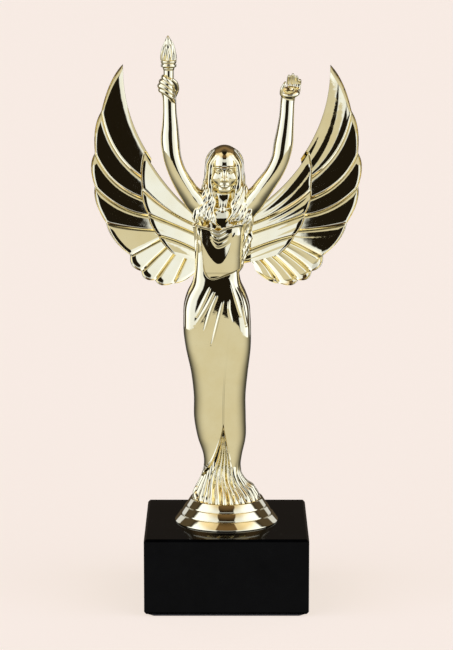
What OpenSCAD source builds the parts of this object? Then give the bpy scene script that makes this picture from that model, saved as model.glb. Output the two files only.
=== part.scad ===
// Winged figure trophy: a hollow gold-plated figure with a torch, clamped to a square stone block by one
// threaded rod. Millimetres, +Z up, the front faces -Y, and the origin is under the middle of the block.
// Right and left are the figure's own: its right arm, which holds the torch, is on the -X side.

/* [Block] */
// Width and depth of the stone block
block_w = 80; // [76:1:90]
// Height of the stone block
block_h = 37.5; // [32:0.5:45]
// Chamfer on every edge of the block
block_chamfer = 1.2; // [0.6:0.1:2]
// Thickness of the felt under the block
felt_t = 1; // [0.6:0.1:1.5]

/* [Pedestal] */
// Radius of the pedestal where it stands on the block
pedestal_r = 25.6; // [24:0.2:28]
// Radius of the pedestal's top, which carries the hem
pedestal_top_r = 17.8; // [17.6:0.1:18.4]
// Height of the pedestal
pedestal_h = 11.5; // [11:0.5:13]

/* [Figure] */
// Wall thickness of the two hollow shells
shell_wall = 1.8; // [1.5:0.1:2.2]
// Thickness of each layer of feathers
feather_t = 2.2; // [2:0.1:2.6]
// How deep each feather is scooped out
feather_scoop = 0.7; // [0.3:0.1:0.8]
// How far the wings sweep back, at most
wing_sweep = 13; // [9:0.5:14]

/* [Torch] */
// Radius of the torch's stem
torch_r = 2.5; // [2.3:0.1:2.6]
// Radius of the collar that holds the flame
collar_r = 3.8; // [3.5:0.1:4.2]
// Height of the flame above the collar
flame_h = 12; // [9:0.5:14]

/* [Fasteners] */
// Radius of the threaded rod
rod_r = 3; // [2.5:0.5:3]
// Radius of the hole down through the block
block_hole_r = 3.5; // [3.3:0.1:4]
// Radius of the recess for the nut under the block
recess_r = 12; // [11:0.5:14]
// Depth of that recess
recess_h = 14; // [12:0.5:16]

/* [Hidden] */

gold = [0.85, 0.77, 0.52];
steel = [0.62, 0.63, 0.65];
black_stone = [0.07, 0.07, 0.07];
dark_felt = [0.09, 0.09, 0.09];

fine = 96;             // facets of a preview circle, which is a true circle in the part
half_sides = 25;       // facets round half of a shell
tube_sides = 14;
slip = 0.1;            // clearance of a peg in its socket
rod_gap = 0.3;         // clearance round the rod, outside the nuts
socket_gap = 0.45;     // room round an arm where it enters the shoulder

block_top = felt_t + block_h;
hem_z = block_top + pedestal_h;

// Fasteners, stacked downwards from the roof of the recess.
washer_r = 9;
washer_t = 1.6;
lock_r = 5.6;
lock_t = 1.6;
nut_r = 10 / sqrt(3);  // corner radius of a nut 10 mm across its flats
nut_h = 5;
recess_roof = felt_t + recess_h;
nut_top = recess_roof - washer_t - lock_t;
rod_z = nut_top - nut_h - 1.5;
boss_r = 6;
spigot_r = 7.2;        // the pedestal's low spigot centres the figure
spigot_h = 1.5;
hem_floor = 3.5;       // the figure's nut is trapped between this floor and the roof over it
hem_roof = 1;
seat_z = hem_z + hem_floor;

// The shells. Each row of a half's table is one level: its height above the hem, the middle's X,
// the half width, and the depth from the seam plane to the surface.
FRONT = [
    [0, 0, 16.8, 16.6], [4, -0.7, 14.6, 13.6], [8, -2, 11.4, 10.6], [11, -2.3, 9.5, 9], [16, -1.5, 8.4, 8],
    [21, -1.3, 8.8, 8], [31, -2.2, 11.6, 8.8], [40, -2.8, 12.7, 9.4], [52, -3.2, 12, 10],
    [63, -3.5, 13.4, 10.6], [77, -4.2, 15.8, 11.4], [91, -4.7, 16.6, 11.6], [100, -4.9, 15.3, 10.6],
    [108, -4.8, 11.6, 9],
    [118, -4.9, 10.1, 8.4], [128, -4.8, 11.3, 10], [134, -4.8, 11.6, 11.4], [140, -4, 12.6, 10],
    [144, -2.6, 13.6, 8.4], [149, -1, 11, 8.6], [154, -0.6, 9.8, 9.6], [161, -0.8, 9.7, 10.2],
    [167, -1, 9, 9.4], [172, -1, 6.4, 6.6], [175, -1, 1.5, 1.6]
];
BACK = [
    [0, 0, 16.8, 16.6], [4, -0.7, 14.6, 13.8], [8, -2, 11.4, 11], [11, -2.3, 9.5, 9.6], [16, -1.5, 8.4, 8.6],
    [21, -1.3, 8.8, 9], [31, -2.2, 11.6, 10.8], [40, -2.8, 12.7, 11.4], [52, -3.2, 12, 10],
    [63, -3.5, 13.4, 10.8], [77, -4.2, 15.8, 12.4], [91, -4.7, 16.6, 13.4], [100, -4.9, 15.3, 12.6],
    [108, -4.4, 12, 9.8],
    [114, -2.6, 12.4, 8.6], [122, -2, 13.2, 8.4], [134, -1.8, 13.6, 8.8], [144, -1.8, 13.8, 9],
    [149, -1.2, 11.6, 9], [154, -0.6, 9.8, 9.6], [161, -0.8, 9.7, 10], [167, -1, 9, 9.2],
    [172, -1, 6.4, 6.6], [175, -1, 1.5, 1.6]
];
shell_top = 175;
cavity_foot = hem_floor + nut_h + hem_roof;
cavity_top = 134;      // the chest above this is solid, for the sockets of the arms
hem_flute = 0.8;       // depth of the hem's folds
flute_h = 18;          // height over which they fade out
flute_angle = 36;      // width of each fold
ring_step = 4;         // height between two rings of a shell
post_z = [38, 78, 122];
post_r = 2;            // posts in the front shell, which locate it in the back shell
post_reach = 3;        // how far they pass the seam

// The arms: points along each limb, with the radius there. The first is the face at the shoulder.
TORCH_ARM = [
    [-11.8, 0.5, 143, 5], [-15, 0.2, 147.5, 5], [-20.4, -0.8, 156, 4.7], [-24, -1.6, 163, 4.4],
    [-26.2, -2, 170, 4.3], [-27, -2.2, 177, 4.5], [-27.1, -2.4, 184, 3.8], [-27.3, -2.6, 191, 2.9],
    [-27.4, -2.7, 196, 3]
];
OPEN_ARM = [
    [9.6, 0.5, 143, 5], [13, 0.2, 147.5, 5.1], [18, -0.8, 155, 4.8], [22.8, -1.6, 162, 4.5],
    [26, -2, 169, 4.3], [27.3, -2.2, 176, 4.6], [28.3, -2.4, 183, 3.9], [29, -2.6, 190, 3.1],
    [29.4, -2.7, 195.5, 3.3]
];
shoulder_peg_r = 2.5;
shoulder_peg_h = 6;

// The closed hand round the torch, as [x, y, z, radius] up its height.
fist_x = -27.8;
fist_y = -2.8;
FIST = [
    [-27.4, -2.7, 195.6, 3.1], [-27.7, -2.9, 199, 4.2], [-28, -3, 203, 4.9], [-27.9, -3, 206, 4.5],
    [-27.7, -2.9, 208.6, 3.4]
];
// The open hand: a cupped palm, and five fingers as [base, middle, tip] points.
PALM = [
    [29.4, -2.7, 195, 3.3], [30, -2.8, 197.6, 4.4], [30.3, -2.6, 200, 4.9], [30.5, -2, 202, 4.6]
];
FINGERS = [
    [[27.6, -0.6, 201.2], [27.4, 0.2, 204.6], [28.2, 0, 207.2]],
    [[29.8, 0.4, 201.2], [30.2, 1, 206], [30.9, 0.4, 209.6]],
    [[31.9, 0.4, 201.2], [32.4, 0.8, 205.6], [32.7, 0.2, 209.2]],
    [[33.9, -0.6, 200.6], [34.4, -0.4, 204], [34.4, -0.8, 207.2]],
    [[26.6, -3, 199.8], [26.4, -4, 202.4], [27, -4.2, 204.6]]
];
finger_r = 1.15;

// The torch stands in the closed hand.
torch_foot = 202;
torch_top = 213.2;
collar_h = 3.2;
plug_r = 1.6;          // the flame's plug in the collar
plug_floor = 1;

// The wings. Each row is one edge between two feathers: the tip's [u, z], the root's [u, z] and how far
// the edge sags, as a share of its length. u is the distance from the middle plane.
PRIMARIES = [
    [50.8, 211.8, 37, 166, 0.08], [61.4, 188.7, 38, 154, 0.12], [64.7, 168, 37, 145, 0.13],
    [64.8, 151.7, 35, 137.4, 0.11], [59.2, 133.5, 34, 130.6, 0.03], [47.5, 117.7, 31, 127, 0],
    [42, 110.2, 28, 124, 0], [35.2, 106, 24, 122, 0], [26, 104.8, 19, 120, 0], [14, 112, 14, 119, 0]
];
COVERTS = [
    [40.4, 169.4, 14.5, 139, 0.05], [41.4, 151, 13.5, 134, 0.06], [38.6, 138.7, 13, 129.5, 0],
    [33.8, 128.4, 12.5, 121, -0.04], [26, 119.4, 12, 115.6, 0]
];
tip_bulge = 2.2;       // how far a feather's end rounds out past the line between its edges
wing_y = 10.4;         // front of the primaries beside the back shell
wing_ease = 30;        // the span over which that sweep eases off
wing_root = 12;        // distance from the middle where it starts
covert_lift = 1.8;     // how far the coverts stand in front of the primaries
back_x = -1.8;         // middle of the back, where the wings meet
inner_reach = [0, 5];  // how much further in the right and left wings' roots start, as the waist sways right
reach_from = 38;       // roots start to shift in at this distance from the middle, and fully so at the next
reach_full = 26;
tongue_w = 2.6;        // each wing's tongue in the back shell: width, height, and distance from the middle
tongue_h = 12;
tongue_u = 6.2;
tongue_y = 4.6;
tongue_z = 121;
edge_samples = 6;
feather_samples = 4;

// ---- Curves and skins ----

function row_of(table, z, i = 0) = i >= len(table) - 2 || z < table[i + 1][0] ? i : row_of(table, z, i + 1);
function slope(table, i, column) =
    let (a = max(i - 1, 0), b = min(i + 1, len(table) - 1))
    (table[b][column] - table[a][column]) / (table[b][0] - table[a][0]);
function hermite(a, b, slope_a, slope_b, t) =
    a * (1 + t * t * (2 * t - 3)) + b * t * t * (3 - 2 * t)
    + slope_a * t * (1 - t) * (1 - t) - slope_b * t * t * (1 - t);

// A column of a table at height z, on a smooth curve through its rows.
function level(table, z, column) =
    let (i = row_of(table, z), span = table[i + 1][0] - table[i][0])
    hermite(table[i][column], table[i + 1][column], slope(table, i, column) * span,
            slope(table, i + 1, column) * span, (z - table[i][0]) / span);

// A closed solid through rings of equally many points, which run counter-clockwise as seen from the last
// ring. Each end is closed by a strip across its ring.
module skin(rings) {
    n = len(rings[0]);
    last = (len(rings) - 1) * n;
    sides = [
        for (k = [0 : len(rings) - 2], i = [0 : n - 1])
            let (a = k * n + i, b = k * n + (i + 1) % n)
                each [[a, b + n, b], [a, a + n, b + n]]
    ];
    strip = [
        for (i = [0 : n / 2 - 2])
            each [[i, n - 2 - i, n - 1 - i], [i, i + 1, n - 2 - i]]
    ];
    far_strip = [for (f = strip) [last + f[0], last + f[2], last + f[1]]];
    polyhedron([for (r = rings) each r], concat(sides, strip, far_strip));
}

function unit(v) = v / norm(v);
function heading(path, i) =
    let (a = path[max(i - 1, 0)], b = path[min(i + 1, len(path) - 1)])
    unit([b[0] - a[0], b[1] - a[1], b[2] - a[2]]);
function tube_ring(path, i) =
    let (
        along = heading(path, i), across = unit(cross([0, 1, 0], along)), up = cross(along, across),
        r = path[i][3]
    )
    [
        for (k = [0 : tube_sides - 1])
            let (a = 360 * k / tube_sides)
                [path[i][0], path[i][1], path[i][2]] + r * (cos(a) * across + sin(a) * up)
    ];

// A round limb along points of [x, y, z, radius].
module tube(path) {
    skin([for (i = [0 : len(path) - 1]) tube_ring(path, i)]);
}

// ---- Plinth ----

module chamfered_square(w, h, c) {
    polygon([
        [-w / 2 + c, -h / 2], [w / 2 - c, -h / 2], [w / 2, -h / 2 + c], [w / 2, h / 2 - c],
        [w / 2 - c, h / 2], [-w / 2 + c, h / 2], [-w / 2, h / 2 - c], [-w / 2, -h / 2 + c]
    ]);
}

module stone_block() {
    color(black_stone)
    difference() {
        translate([0, 0, felt_t + block_h / 2])
        intersection() {
            linear_extrude(block_h, center = true) chamfered_square(block_w, block_w, block_chamfer);
            rotate([90, 0, 0])
            linear_extrude(block_w, center = true) chamfered_square(block_w, block_h, block_chamfer);
            rotate([90, 0, 90])
            linear_extrude(block_w, center = true) chamfered_square(block_w, block_h, block_chamfer);
        }
        cylinder(r = block_hole_r, h = block_top + 1, $fn = fine);
        cylinder(r = recess_r, h = recess_roof, $fn = fine);
    }
}

module base_felt() {
    felt_w = block_w - 2 * block_chamfer - 1;
    color(dark_felt)
    linear_extrude(felt_t) chamfered_square(felt_w, felt_w, 3);
}

module ring_disc(outer_r, inner_r, h) {
    difference() {
        cylinder(r = outer_r, h = h, $fn = fine);
        translate([0, 0, -1]) cylinder(r = inner_r, h = h + 2, $fn = fine);
    }
}

module flat_washer() {
    color(steel)
    translate([0, 0, recess_roof - washer_t]) ring_disc(washer_r, rod_r + rod_gap, washer_t);
}

// The lock washer is split on its -Y side.
module lock_washer() {
    split_w = 1.2;
    color(steel)
    translate([0, 0, nut_top])
    difference() {
        ring_disc(lock_r, rod_r + 0.2, lock_t);
        translate([-split_w / 2, -lock_r - 1, -1]) cube([split_w, lock_r, lock_t + 2]);
    }
}

module hex_nut() {
    difference() {
        cylinder(r = nut_r, h = nut_h, $fn = 6);
        translate([0, 0, -1]) cylinder(r = rod_r + 0.05, h = nut_h + 2, $fn = fine);
    }
}

module clamp_nut() {
    color(steel)
    translate([0, 0, nut_top - nut_h]) hex_nut();
}

module threaded_rod() {
    rod_end = seat_z + nut_h + 1;
    point = 0.7;
    color(steel)
    rotate_extrude($fn = fine)
    polygon([
        [0, rod_z], [rod_r - point, rod_z], [rod_r, rod_z + point], [rod_r, rod_end - point],
        [rod_r - point, rod_end], [0, rod_end]
    ]);
}

module socket_nut() {
    color(steel)
    translate([0, 0, seat_z]) hex_nut();
}

// ---- Pedestal ----

tiers = 3;
ledge = 0.5;           // flat step out from one tier to the next
lip = 0.5;             // upright edge at the foot of each tier
function tier_r(i) = pedestal_r + (pedestal_top_r - pedestal_r) * i / tiers;
function tier_z(i) = block_top + pedestal_h * i / tiers;

pedestal_outline = [
    for (i = [0 : tiers - 1])
        let (out = i == 0 ? 0 : ledge)
            each [
                [tier_r(i) - out, tier_z(i)], [tier_r(i) - out, tier_z(i) + lip],
                [tier_r(i + 1), tier_z(i + 1)]
            ]
];

module pedestal() {
    skirt_t = 2.4;
    plate_t = 2.2;
    rib_t = 1.6;
    ribs = 6;
    under = hem_z - plate_t;
    color(gold)
    difference() {
        rotate_extrude($fn = fine)
        polygon(concat(
            [[rod_r + rod_gap, block_top]], pedestal_outline,
            [[spigot_r, hem_z], [spigot_r, hem_z + spigot_h], [rod_r + rod_gap, hem_z + spigot_h]]
        ));
        difference() {
            translate([0, 0, block_top - 1])
            cylinder(
                r1 = pedestal_r - skirt_t + 0.6, r2 = pedestal_top_r - skirt_t,
                h = under - block_top + 1, $fn = fine
            );
            translate([0, 0, block_top - 2]) cylinder(r = boss_r, h = pedestal_h, $fn = fine);
            for (i = [0 : ribs - 1])
                rotate(i * 360 / ribs)
                translate([0, -rib_t / 2, block_top + 1]) cube([pedestal_r, rib_t, pedestal_h]);
        }
    }
}

// ---- Figure shells: side is -1 for the front and 1 for the back ----

function half_ring(table, side, z, grow) = [
    for (k = [0 : half_sides])
        let (t = 180 * k / half_sides)
            [
                level(table, z, 1) + side * (level(table, z, 2) + grow(t)) * cos(t),
                side * (level(table, z, 3) + grow(t)) * sin(t),
                hem_z + z
            ]
];
function gown_ring(table, side, z) =
    half_ring(table, side, z, function(t) hem_flute * max(0, 1 - z / flute_h) * cos(360 * t / flute_angle));

// The cavity's rings run on past the seam, so that it opens there cleanly.
function cavity_ring(table, side, z) =
    let (ring = half_ring(table, side, z, function(t) -shell_wall), past = [0, -side, 0])
    concat([ring[0] + past], ring, [ring[half_sides] + past]);

module shell(table, side) {
    difference() {
        skin([
            for (z = [0 : ring_step : shell_top - 1]) gown_ring(table, side, z),
            gown_ring(table, side, shell_top)
        ]);
        skin([for (z = [cavity_foot : 2 * ring_step : cavity_top]) cavity_ring(table, side, z)]);
        translate([0, 0, hem_z - 1]) cylinder(r = spigot_r + slip, h = spigot_h + 1.2, $fn = fine);
        translate([0, 0, hem_z]) cylinder(r = rod_r + rod_gap, h = cavity_foot + 1, $fn = fine);
        translate([0, 0, seat_z]) cylinder(r = nut_r + 0.08, h = nut_h, $fn = 6);
    }
}

// Turns +Z onto the first stretch of an arm, at its shoulder.
module at_shoulder(arm) {
    d = unit([arm[1][0] - arm[0][0], arm[1][1] - arm[0][1], arm[1][2] - arm[0][2]]);
    translate([arm[0][0], arm[0][1], hem_z + arm[0][2]])
    rotate([0, acos(d[2]), atan2(d[1], d[0])])
    children();
}

// Room for the end of an arm, and for its peg.
module shoulder_socket(arm) {
    at_shoulder(arm) {
        cylinder(r = arm[1][3] + socket_gap, h = 30, $fn = fine);
        translate([0, 0, -shoulder_peg_h - slip])
        cylinder(r = shoulder_peg_r + slip, h = shoulder_peg_h + 1, $fn = fine);
    }
}

module figure_front() {
    color(gold)
    union() {
        difference() {
            shell(FRONT, -1);
            shoulder_socket(TORCH_ARM);
            shoulder_socket(OPEN_ARM);
        }
        for (z = post_z)
            translate([level(FRONT, z, 1), post_reach, hem_z + z])
            rotate([90, 0, 0])
            cylinder(r = post_r, h = level(FRONT, z, 3) + post_reach - shell_wall / 2, $fn = fine);
    }
}

module figure_back() {
    color(gold)
    difference() {
        union() {
            shell(BACK, 1);
            for (z = post_z)
                translate([level(FRONT, z, 1), 0, hem_z + z])
                rotate([-90, 0, 0])
                cylinder(r = post_r + 1.6, h = level(BACK, z, 3) - shell_wall / 2, $fn = fine);
        }
        for (z = post_z)
            translate([level(FRONT, z, 1), post_reach + 0.5, hem_z + z])
            rotate([90, 0, 0])
            cylinder(r = post_r + slip, h = post_reach + 1, $fn = fine);
        shoulder_socket(TORCH_ARM);
        shoulder_socket(OPEN_ARM);
        for (side = [-1, 1])
            wing_tongue(side, slip);
    }
}

// ---- Arms ----

module limb(arm) {
    translate([0, 0, hem_z]) tube(arm);
    at_shoulder(arm)
    translate([0, 0, -shoulder_peg_h]) cylinder(r = shoulder_peg_r, h = shoulder_peg_h + 1, $fn = fine);
}

module torch_arm() {
    color(gold)
    difference() {
        union() {
            limb(TORCH_ARM);
            translate([0, 0, hem_z]) tube(FIST);
        }
        translate([fist_x, fist_y, hem_z + torch_foot]) cylinder(r = torch_r + slip, h = 20, $fn = fine);
    }
}

module open_arm() {
    color(gold)
    union() {
        limb(OPEN_ARM);
        translate([0, 0, hem_z]) tube(PALM);
        for (f = FINGERS)
            translate([0, 0, hem_z])
            tube([for (i = [0 : 2]) concat(f[i], [finger_r * (1 - 0.2 * i)])]);
    }
}

// ---- Torch ----

module torch() {
    color(gold)
    translate([fist_x, fist_y, hem_z])
    rotate_extrude($fn = fine)
    polygon([
        [0, torch_foot], [torch_r, torch_foot], [torch_r, torch_top - 0.6], [collar_r - 0.6, torch_top],
        [collar_r, torch_top + 0.7], [collar_r, torch_top + collar_h - 0.6],
        [collar_r - 0.6, torch_top + collar_h], [plug_r, torch_top + collar_h],
        [plug_r, torch_top + plug_floor], [0, torch_top + plug_floor]
    ]);
}

module torch_flame() {
    flame_z = torch_top + collar_h;
    widest = 0.97 * collar_r;
    swell = 8;
    color(gold)
    translate([fist_x, fist_y, hem_z])
    rotate_extrude($fn = fine)
    polygon(concat(
        [
            [0, torch_top + plug_floor + slip], [plug_r - slip, torch_top + plug_floor + slip],
            [plug_r - slip, flame_z]
        ],
        [
            for (i = [0 : swell - 1])
                let (t = i / swell)
                    [widest * (0.82 + 0.5 * t - 1.32 * t * t * t), flame_z + flame_h * t]
        ],
        [[0, flame_z + flame_h]]
    ));
}

// ---- Wings ----

function wing_depth(u) = wing_y + wing_sweep * (1 - exp(-max(0, u - wing_root) / wing_ease));

// A point on an edge between two feathers, t = 0 at its root and 1 at its tip. It sags down and outwards.
function edge_point(row, t) =
    let (root = [row[2], row[3]], tip = [row[0], row[1]], along = tip - root)
    root + along * t + 4 * t * (1 - t) * row[4] * [along[1], -along[0]];

// A point across a layer: s counts edges from the top, and a feather's end rounds out between its edges.
function layer_point(rows, s, t) =
    let (
        i = min(floor(s), len(rows) - 2), v = s - i, a = rows[i], b = rows[i + 1],
        p = edge_point(a, t) * (1 - v) + edge_point(b, t) * v,
        out = unit([a[0] + b[0] - a[2] - b[2], a[1] + b[1] - a[3] - b[3]])
    )
    p + out * tip_bulge * 4 * v * (1 - v) * t * t;

// How far a feather's root shifts in.
function root_shift(rows, side, s) =
    let (i = min(floor(s), len(rows) - 2), root_u = rows[i][2] + (s - i) * (rows[i + 1][2] - rows[i][2]))
    inner_reach[side > 0 ? 1 : 0] * max(0, min(1, (reach_from - root_u) / (reach_from - reach_full)));

// One section through a layer, across its thickness, with the feather's scoop in its front.
function layer_ring(rows, side, s, lift) =
    let (v = s - floor(s), n = edge_samples, shift = root_shift(rows, side, s))
    [
        for (k = [0 : 2 * n + 1])
            let (
                front = k <= n, t = front ? k / n : (2 * n + 1 - k) / n, p = layer_point(rows, s, t),
                u = p[0] - shift * (1 - t) * (1 - t),
                scoop = front ? feather_scoop * 4 * v * (1 - v) : feather_t
            )
                [side * u, wing_depth(u) - lift + scoop, p[1]]
    ];

module layer(rows, side, lift) {
    steps = (len(rows) - 1) * feather_samples;
    rings = [for (k = [0 : steps]) layer_ring(rows, side, k / feather_samples, lift)];
    translate([0, 0, hem_z])
    skin(side < 0 ? rings : [for (r = rings) [for (i = [len(r) - 1 : -1 : 0]) r[i]]]);
}

// The tongue that holds a wing in the back shell, grown by a clearance for its slot.
module wing_tongue(side, grow) {
    translate([
        back_x + side * tongue_u - tongue_w / 2 - grow, tongue_y - grow, hem_z + tongue_z - grow
    ])
    cube([tongue_w + 2 * grow, wing_y - tongue_y + 1 + grow, tongue_h + 2 * grow]);
}

// The pad joins the feathers to the tongue, just behind the back shell.
module wing(side) {
    pad_t = 2.4;
    pad_w = 12;
    pad_h = 22;
    color(gold)
    union() {
        layer(PRIMARIES, side, 0);
        layer(COVERTS, side, covert_lift);
        wing_tongue(side, 0);
        translate([back_x + side * (tongue_u + pad_w / 2 - 2), wing_y + pad_t / 2 - 0.8, hem_z + 127])
        cube([pad_w, pad_t, pad_h], center = true);
    }
}

module right_wing() {
    wing(-1);
}

module left_wing() {
    wing(1);
}

stone_block();
base_felt();
flat_washer();
lock_washer();
clamp_nut();
threaded_rod();
socket_nut();
pedestal();
figure_front();
figure_back();
torch_arm();
open_arm();
torch();
torch_flame();
right_wing();
left_wing();
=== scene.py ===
"""Looks for the winged figure trophy. The builders work in millimetres in the CAD frame: +Z up, the front
faces -Y, and the figure's own right is on the -X side. Meshes are turned into metres as they are made."""

import math

import bmesh
import bpy
import numpy as np
from mathutils import Euler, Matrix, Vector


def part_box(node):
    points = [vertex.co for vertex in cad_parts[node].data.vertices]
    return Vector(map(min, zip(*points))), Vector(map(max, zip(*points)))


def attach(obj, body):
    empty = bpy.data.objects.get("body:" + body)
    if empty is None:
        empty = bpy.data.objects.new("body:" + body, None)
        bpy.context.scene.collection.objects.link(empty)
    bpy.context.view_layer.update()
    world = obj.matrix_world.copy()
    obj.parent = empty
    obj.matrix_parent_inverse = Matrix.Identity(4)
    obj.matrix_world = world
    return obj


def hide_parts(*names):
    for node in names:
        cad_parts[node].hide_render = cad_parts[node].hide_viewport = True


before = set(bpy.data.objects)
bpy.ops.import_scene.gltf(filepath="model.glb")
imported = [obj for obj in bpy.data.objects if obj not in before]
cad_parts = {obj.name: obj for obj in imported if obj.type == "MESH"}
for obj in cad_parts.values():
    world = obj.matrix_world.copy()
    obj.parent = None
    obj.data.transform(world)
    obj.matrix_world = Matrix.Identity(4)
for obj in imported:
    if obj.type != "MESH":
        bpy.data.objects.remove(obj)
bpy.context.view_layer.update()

MM = 0.001
FRONT, BACK = -1, 1


def node_box(name):
    """A CAD node's lowest and highest corners, in millimetres."""
    low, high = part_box(name)
    return np.array(low) / MM, np.array(high) / MM


BLOCK_TOP = node_box("stone_block")[1][2]
HEM = node_box("figure_front")[0][2]
TORCH_LOW, TORCH_HIGH = node_box("torch")
FLAME_TOP = node_box("torch_flame")[1][2]
TORCH_X, TORCH_Y = (TORCH_LOW + TORCH_HIGH)[:2] / 2


# ---- Curves ----


def smoothstep(low, high, x):
    t = np.clip((x - low) / (high - low), 0, 1)
    return t * t * (3 - 2 * t)


def through(rows, samples):
    """Points on a smooth curve through rows of numbers, with that many samples to each stretch."""
    rows = np.array(rows, float)
    ends = np.vstack([2 * rows[0] - rows[1], rows, 2 * rows[-1] - rows[-2]])
    t = (np.arange(samples) / samples)[:, None]
    out = []
    for a, b, c, d in zip(ends, ends[1:], ends[2:], ends[3:]):
        rise = c - a
        bend = 2 * a - 5 * b + 4 * c - d
        twist = 3 * b - a - 3 * c + d
        out.append(b + (rise * t + bend * t**2 + twist * t**3) / 2)
    return np.vstack([*out, rows[-1:]])


def column(table, z, k):
    """Column k of a table whose first column is a height, on a smooth curve through its rows."""
    table = np.array(table, float)
    h, v = table[:, 0], table[:, k]
    i = np.clip(np.searchsorted(h, z, "right") - 1, 0, len(h) - 2)
    slope = np.gradient(v, h)
    span = h[i + 1] - h[i]
    t = np.clip((z - h[i]) / span, 0, 1)
    bulge = span * t * (1 - t) * (slope[i] * (1 - t) - slope[i + 1] * t)
    return v[i] + (v[i + 1] - v[i]) * t * t * (3 - 2 * t) + bulge


# ---- Meshes ----


def corner_normals(points, faces):
    """A smooth normal at every vertex, weighted by the faces' areas."""
    total = np.zeros_like(points)
    for f in faces:
        across = points[f[:, 2]] - points[f[:, 0]]
        other = points[f[:, -1]] - points[f[:, 1]]
        n = np.cross(across, other)
        for k in range(f.shape[1]):
            np.add.at(total, f[:, k], n)
    return total / np.maximum(np.linalg.norm(total, axis=1), 1e-12)[:, None]


class Shell:
    """Part of a mesh: its points, its arrays of faces, and a normal for each corner of each face."""

    def __init__(self, points, faces, normals=None):
        self.points = np.asarray(points, float)
        self.faces = [np.asarray(f, int) for f in faces if len(f)]
        if normals is None:
            normals = corner_normals(self.points, self.faces)
        self.corners = [normals[f] for f in self.faces]


def grid_faces(rows, cols, closed=False):
    """Quads over points laid out in rows; closed joins each row's end to its start."""
    i = np.arange(rows - 1)[:, None] * cols
    j = np.arange(cols if closed else cols - 1)[None, :]
    k = (j + 1) % cols
    quads = np.stack([i + j, i + k, i + cols + k, i + cols + j], axis=-1)
    return quads.reshape(-1, 4)


def solid(name, shells, material, body="figure", stands_for=(), sharp=None):
    """One mesh object from shells. Without a sharp angle it takes the shells' own normals."""
    points, faces, corners, start = [], [], [], 0
    for shell in shells:
        points.append(shell.points)
        for f, c in zip(shell.faces, shell.corners):
            faces.extend((f + start).tolist())
            corners.append(c.reshape(-1, 3))
        start += len(shell.points)
    mesh = bpy.data.meshes.new(name)
    mesh.from_pydata((np.vstack(points) * MM).tolist(), [], faces)
    mesh.polygons.foreach_set("use_smooth", [True] * len(mesh.polygons))
    if sharp is None:
        mesh.normals_split_custom_set(np.vstack(corners).tolist())
    else:
        mesh.set_sharp_from_angle(angle=math.radians(sharp))
    obj = bpy.data.objects.new(name, mesh)
    bpy.context.scene.collection.objects.link(obj)
    obj.data.materials.append(material)
    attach(obj, body)
    if stands_for:
        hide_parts(*stands_for)


def cap(points, faces, side):
    """A flat cap at y = 0 over the open edges of faces, which lie on the given side of it."""
    edges = {}
    for f in faces:
        for k in range(f.shape[1]):
            for a, b in zip(f[:, k], f[:, (k + 1) % f.shape[1]]):
                key = (min(a, b), max(a, b))
                edges[key] = edges.get(key, 0) + 1
    rim = [e for e, count in edges.items() if count == 1]
    work = bmesh.new()
    verts = {}
    for i in sorted({i for e in rim for i in e}):
        verts[i] = work.verts.new(points[i])
    back = {v: i for i, v in verts.items()}
    lines = [work.edges.new((verts[a], verts[b])) for a, b in rim]
    made = bmesh.ops.triangle_fill(work, use_beauty=True, edges=lines)["geom"]
    triangles = []
    for face in [g for g in made if isinstance(g, bmesh.types.BMFace)]:
        loop = [back[v] for v in face.verts]
        a, b, c = points[loop]
        if np.cross(b - a, c - a)[1] * side > 0:
            loop.reverse()
        triangles.append(loop)
    work.free()
    return np.array(triangles, int).reshape(-1, 3)


def halves(points, faces, normals, half_of_face):
    """Splits a closed skin at the seam plane into a front and a back shell, each closed with a flat cap."""
    out = {}
    for side in (FRONT, BACK):
        mine = [f[h == side] for f, h in zip(faces, half_of_face)]
        lid = cap(points, mine, side)
        shell = Shell(points, mine, normals)
        shell.faces.append(lid)
        shell.corners.append(np.tile([0.0, -side, 0.0], (len(lid), 3, 1)))
        used = np.unique(np.concatenate([f.ravel() for f in shell.faces]))
        number = np.full(len(points), -1)
        number[used] = np.arange(len(used))
        shell.points = points[used]
        shell.faces = [number[f] for f in shell.faces]
        out[side] = shell
    return out


# ---- Clay: signed distances on a grid, in millimetres, joined by smooth unions ----


def blurred(f):
    """A field averaged a little with its neighbours, along each axis in turn."""
    for axis in range(3):
        f = np.moveaxis(f, axis, 0)
        g = f.copy(order="K")
        g[1:-1] = f[1:-1] / 2 + (f[:-2] + f[2:]) / 4
        f = np.moveaxis(g, 0, axis)
    return f


def crossing_quads(inside, number):
    """A quad round each grid edge that crosses the surface, from the numbers of the cells at that edge."""
    quads = []
    for k in range(3):
        here, there = [slice(1, -1)] * 3, [slice(1, -1)] * 3
        here[k], there[k] = slice(0, -1), slice(1, None)
        a, b = inside[tuple(here)], inside[tuple(there)]
        edge = np.argwhere(a != b)
        rising = a[tuple(edge.T)]
        du, dv = np.eye(3, dtype=int)[[(k + 1) % 3, (k + 2) % 3]]
        edge = edge + du + dv
        quad = np.stack([number[tuple((edge - back).T)] for back in (du + dv, dv, 0 * dv, du)], axis=1)
        quad[~rising] = quad[~rising][:, ::-1]
        quads.append(quad)
    return np.vstack(quads)


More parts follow.
